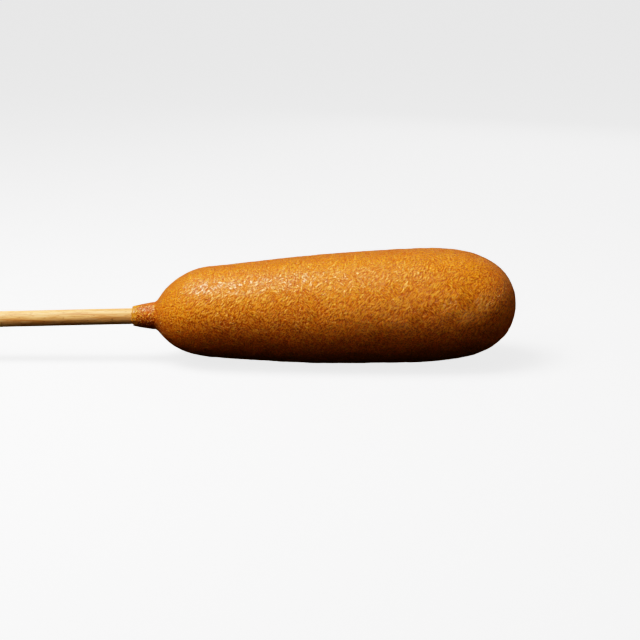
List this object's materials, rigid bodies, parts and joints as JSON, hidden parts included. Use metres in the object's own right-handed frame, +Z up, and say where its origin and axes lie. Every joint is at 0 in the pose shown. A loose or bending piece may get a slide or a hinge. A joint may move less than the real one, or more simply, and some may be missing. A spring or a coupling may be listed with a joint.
{
  "type": "corn dog",
  "caption": "Fried corn dog lying on its side: a long rounded body in a pebbled batter crust that narrows to a collar on a round wooden stick.",
  "frame": {"origin": "under the middle of the whole corn dog, on the surface that it lies on", "axes": "+X from the stick towards the rounded tip, +Z up, +Y the far side from the viewer"},
  "size_m": [0.2078, 0.0402, 0.0396],
  "materials": {
    "fried_batter": "golden brown fried crust, finely pebbled, with an oily satin sheen",
    "pale_wood": "bare pale dowel with fine lengthwise grain"
  },
  "bodies": {
    "root": {"batter_coat": "fried_batter", "stick": "pale_wood"}
  },
  "joints": []
}
